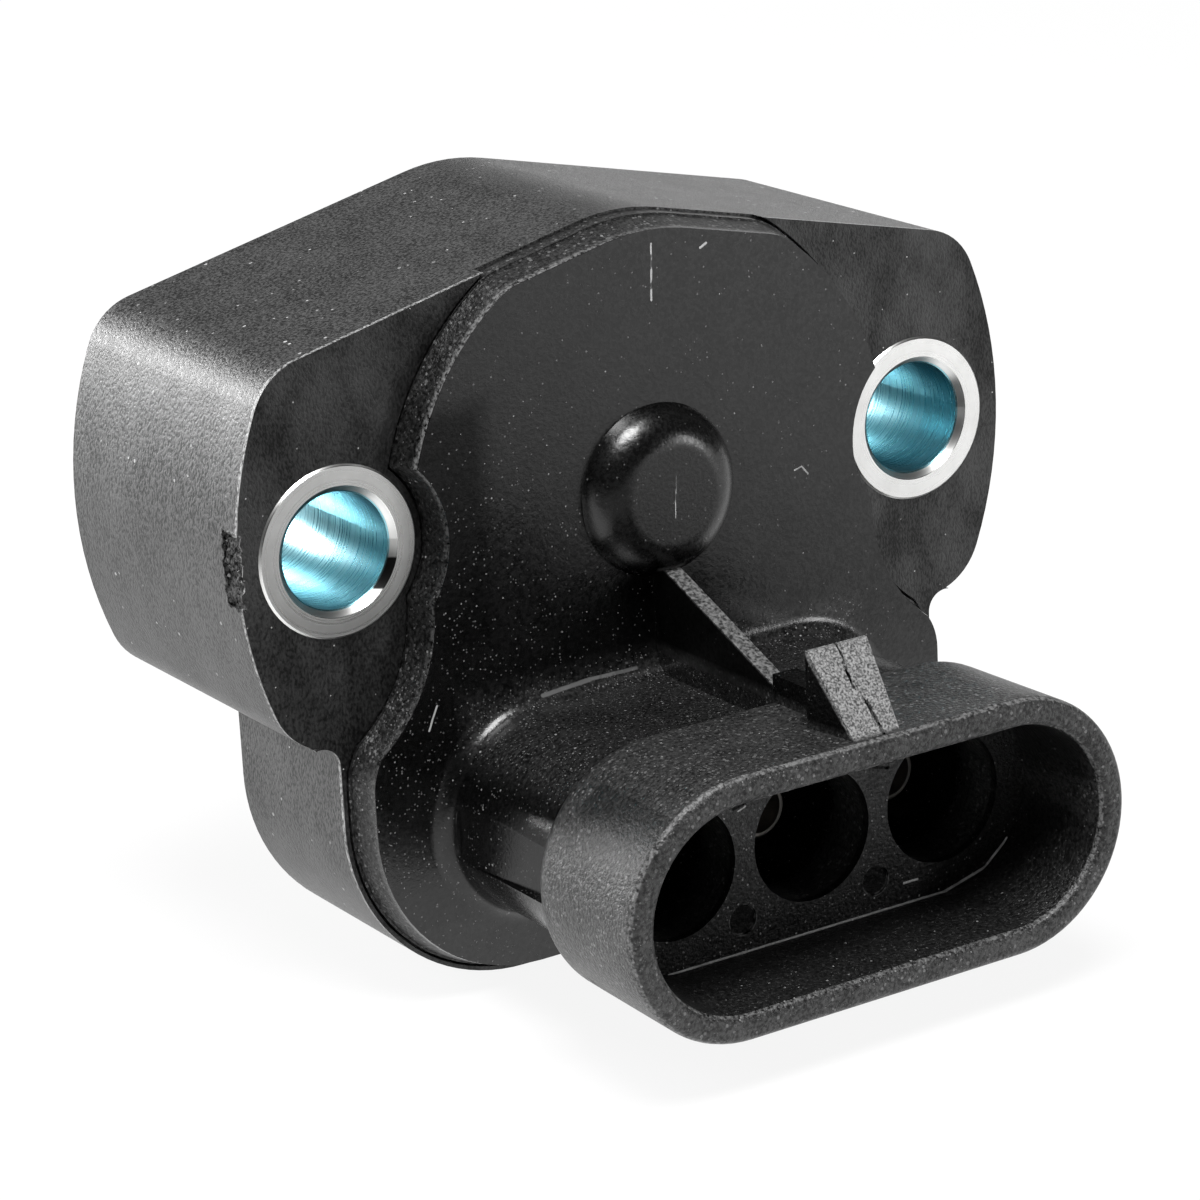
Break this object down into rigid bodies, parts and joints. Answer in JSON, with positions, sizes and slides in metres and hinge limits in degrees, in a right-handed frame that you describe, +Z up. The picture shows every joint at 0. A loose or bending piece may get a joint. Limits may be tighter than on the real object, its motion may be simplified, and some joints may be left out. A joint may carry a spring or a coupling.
{
  "type": "throttle position sensor",
  "caption": "Rotary throttle position sensor with a flanged black housing, steel-bushed screw holes and an oval connector port on its cover.",
  "frame": {"origin": "on the shaft axis, midway between the screw holes, in the mounting plane", "axes": "+Y out of the mounting face towards the throttle body, -Y towards the cover and connector, +Z up, +X to the right seen from the front"},
  "size_m": [0.042, 0.0346, 0.0348],
  "materials": {
    "housing_plastic": "black glass-filled moulding, matte, slightly speckled",
    "cover_plastic": "black glass-filled moulding, satin face",
    "zinc_steel": "zinc plated, turned, bore lightly tinted blue-green",
    "tinned_brass": "tin plated",
    "brass": "plain brass",
    "board": "resin board, matte",
    "rotor_plastic": "natural acetal, satin",
    "spring_bronze": "thin spring strip",
    "washer_steel": "thin stamped steel",
    "spring_steel": "bright spring wire",
    "seal_rubber": "moulded rubber"
  },
  "bodies": {
    "body": {"housing": "housing_plastic", "cover": "cover_plastic", "bushing_left": "zinc_steel", "bushing_right": "zinc_steel", "terminal_left": "tinned_brass", "terminal_middle": "tinned_brass", "terminal_right": "tinned_brass", "eyelet_left": "brass", "eyelet_middle": "brass", "eyelet_right": "brass", "resistor_board": "board", "thrust_washer": "washer_steel", "return_spring": "spring_steel", "rotor_seal": "seal_rubber"},
    "rotor": {"rotor": "rotor_plastic", "wiper": "spring_bronze"}
  },
  "joints": [
    {"name": "rotor_turn", "type": "hinge", "parent": "body", "child": "rotor", "pos_m": [0, 0, 0], "axis": [0, -1, 0], "range_deg": [0, 95], "stiffness_Nm_per_rad": 0.01, "springref_deg": -28.65, "deforming": ["return_spring"]}
  ]
}
